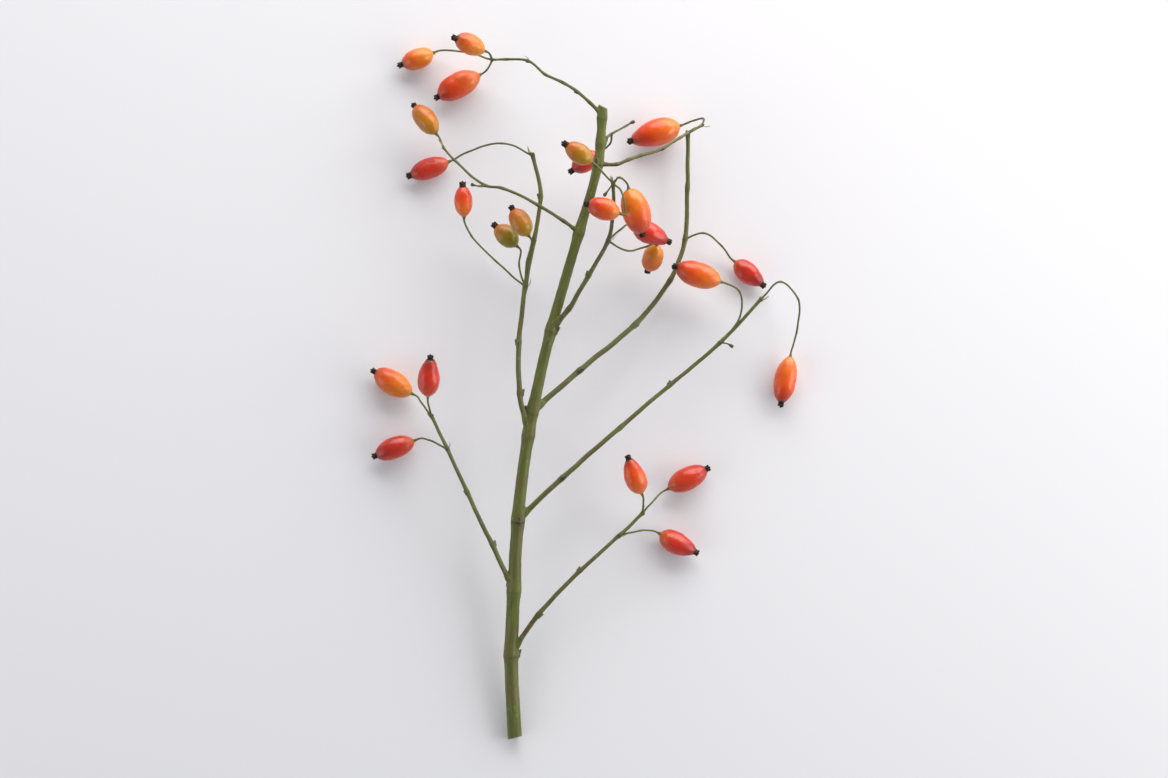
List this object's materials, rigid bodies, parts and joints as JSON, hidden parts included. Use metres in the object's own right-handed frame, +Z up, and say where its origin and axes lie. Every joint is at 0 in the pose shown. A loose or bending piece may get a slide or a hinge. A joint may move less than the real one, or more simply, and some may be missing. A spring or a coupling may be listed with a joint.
{
  "type": "rose hip sprig",
  "caption": "Leafless cut rose stem lying flat, its side twigs ending in elongated glossy hips with dried calyxes.",
  "frame": {"origin": "centre of the bounding box, on the surface that the sprig lies on", "axes": "+Y along the stem from its cut foot to its topped end, +Z up from the surface, +X across the stem to the right as seen from above"},
  "size_m": [0.1718, 0.2802, 0.0501],
  "materials": {
    "skin_orange": "gloss",
    "skin_red": "gloss",
    "skin_amber": "gloss",
    "dried_calyx": "matte",
    "stem_bark": "satin",
    "twig_bark": "satin"
  },
  "bodies": {
    "root": {"back_twig": "twig_bark", "back_twig_calyx_1": "dried_calyx", "back_twig_hip_1": "skin_red", "front_shoot": "twig_bark", "front_shoot_calyx_1": "dried_calyx", "front_shoot_calyx_2": "dried_calyx", "front_shoot_calyx_3": "dried_calyx", "front_shoot_calyx_4": "dried_calyx", "front_shoot_calyx_5": "dried_calyx", "front_shoot_hip_1": "skin_amber", "front_shoot_hip_2": "skin_orange", "front_shoot_hip_3": "skin_orange", "front_shoot_hip_4": "skin_red", "front_shoot_hip_5": "skin_orange", "left_long_twig": "twig_bark", "left_long_twig_calyx_1": "dried_calyx", "left_long_twig_hip_1": "skin_amber", "left_shoot": "twig_bark", "left_shoot_calyx_1": "dried_calyx", "left_shoot_calyx_2": "dried_calyx", "left_shoot_calyx_3": "dried_calyx", "left_shoot_calyx_4": "dried_calyx", "left_shoot_hip_1": "skin_red", "left_shoot_hip_2": "skin_amber", "left_shoot_hip_3": "skin_amber", "left_shoot_hip_4": "skin_orange", "lower_left_twig": "twig_bark", "lower_left_twig_calyx_1": "dried_calyx", "lower_left_twig_calyx_2": "dried_calyx", "lower_left_twig_calyx_3": "dried_calyx", "lower_left_twig_hip_1": "skin_orange", "lower_left_twig_hip_2": "skin_red", "lower_left_twig_hip_3": "skin_red", "lower_right_twig": "twig_bark", "lower_right_twig_calyx_1": "dried_calyx", "lower_right_twig_calyx_2": "dried_calyx", "lower_right_twig_calyx_3": "dried_calyx", "lower_right_twig_hip_1": "skin_red", "lower_right_twig_hip_2": "skin_red", "lower_right_twig_hip_3": "skin_orange", "main_stem": "stem_bark", "right_long_twig": "twig_bark", "right_long_twig_calyx_1": "dried_calyx", "right_long_twig_calyx_2": "dried_calyx", "right_long_twig_hip_1": "skin_orange", "right_long_twig_hip_2": "skin_orange", "right_shoot": "twig_bark", "right_shoot_calyx_1": "dried_calyx", "right_shoot_hip_1": "skin_red", "tip_twig": "twig_bark", "tip_twig_calyx_1": "dried_calyx", "tip_twig_calyx_2": "dried_calyx", "tip_twig_calyx_3": "dried_calyx", "tip_twig_hip_1": "skin_orange", "tip_twig_hip_2": "skin_orange", "tip_twig_hip_3": "skin_orange", "upper_right_twig": "twig_bark", "upper_right_twig_calyx_1": "dried_calyx", "upper_right_twig_hip_1": "skin_orange"}
  },
  "joints": []
}
